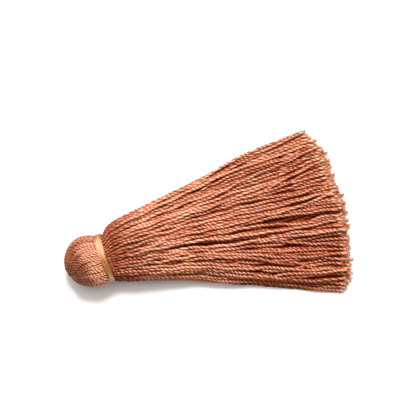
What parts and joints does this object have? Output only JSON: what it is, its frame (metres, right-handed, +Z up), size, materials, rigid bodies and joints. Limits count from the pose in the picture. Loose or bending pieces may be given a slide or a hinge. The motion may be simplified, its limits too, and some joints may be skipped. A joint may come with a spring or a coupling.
{
  "type": "tassel",
  "caption": "Twisted-cord tassel lying on a table: a folded, ribbed round head bound at the neck, and a loose skirt of cords spread into a fan.",
  "frame": {"origin": "middle of the tassel's box, on the surface it lies on", "axes": "+X from the head along the middle of the spread skirt, +Y to the left of the skirt seen from above, +Z up"},
  "size_m": [0.0794, 0.0458, 0.0147],
  "materials": {
    "threads": "silky twisted two-ply cord, salmon orange",
    "floss": "glossy untwisted floss, pale golden orange"
  },
  "bodies": {
    "root": {"thread_bundle": "threads", "neck_binding": "floss"}
  },
  "joints": []
}
